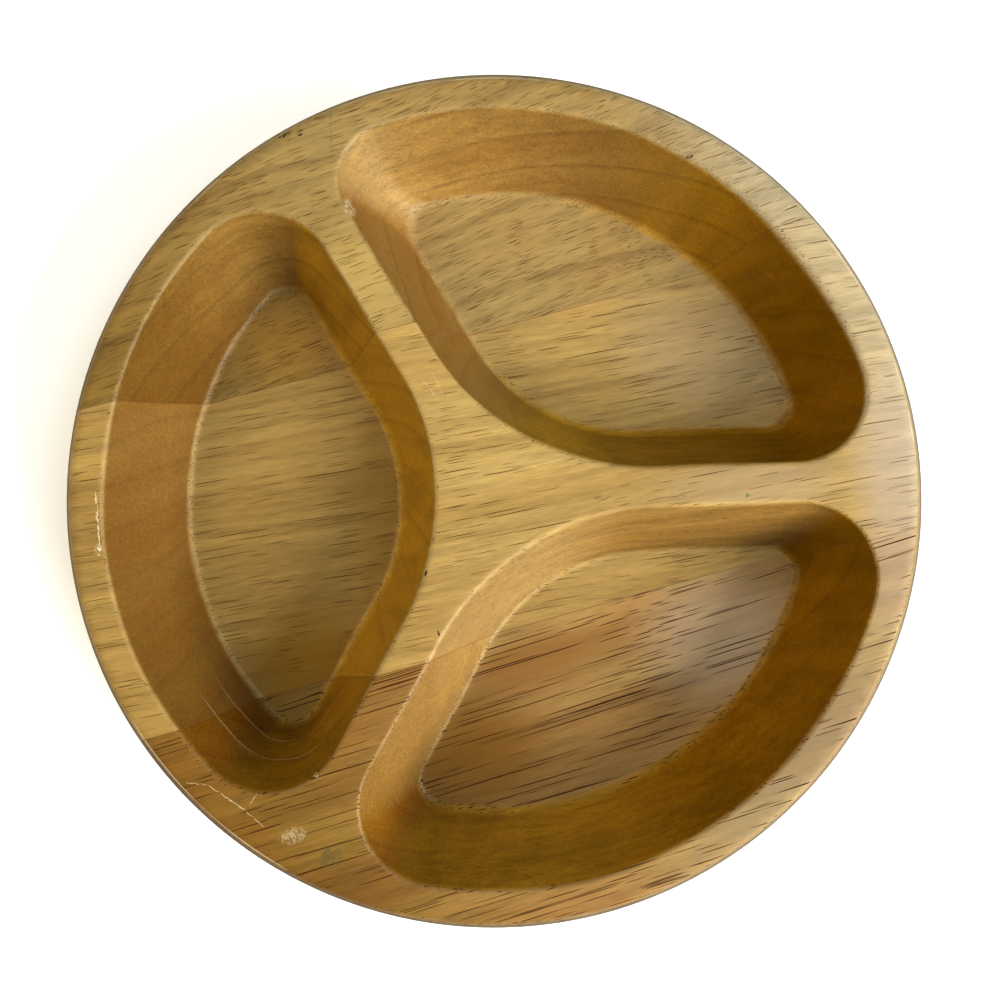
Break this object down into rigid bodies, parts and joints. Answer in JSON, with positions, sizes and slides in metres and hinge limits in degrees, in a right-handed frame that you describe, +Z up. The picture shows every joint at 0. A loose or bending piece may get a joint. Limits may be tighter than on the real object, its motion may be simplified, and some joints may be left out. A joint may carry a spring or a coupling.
{
  "type": "divided serving bowl",
  "caption": "Round low wooden serving bowl with deep rounded pockets set about a central hub, cut from a blank of boards glued edge to edge.",
  "frame": {"origin": "centre of the flat resting face, on the surface that the bowl stands on", "axes": "+Z up out of the pockets; +X from the centre along the divider between the two right-hand pockets; +Y towards the upper pocket"},
  "size_m": [0.305, 0.305, 0.052],
  "materials": {
    "board_upper": "oiled, satin",
    "board_middle": "oiled, satin",
    "board_lower": "oiled, satin",
    "glue": "cured wood glue"
  },
  "bodies": {
    "root": {"board_upper": "board_upper", "board_middle": "board_middle", "board_lower": "board_lower", "glue_line_upper": "glue", "glue_line_lower": "glue"}
  },
  "joints": []
}
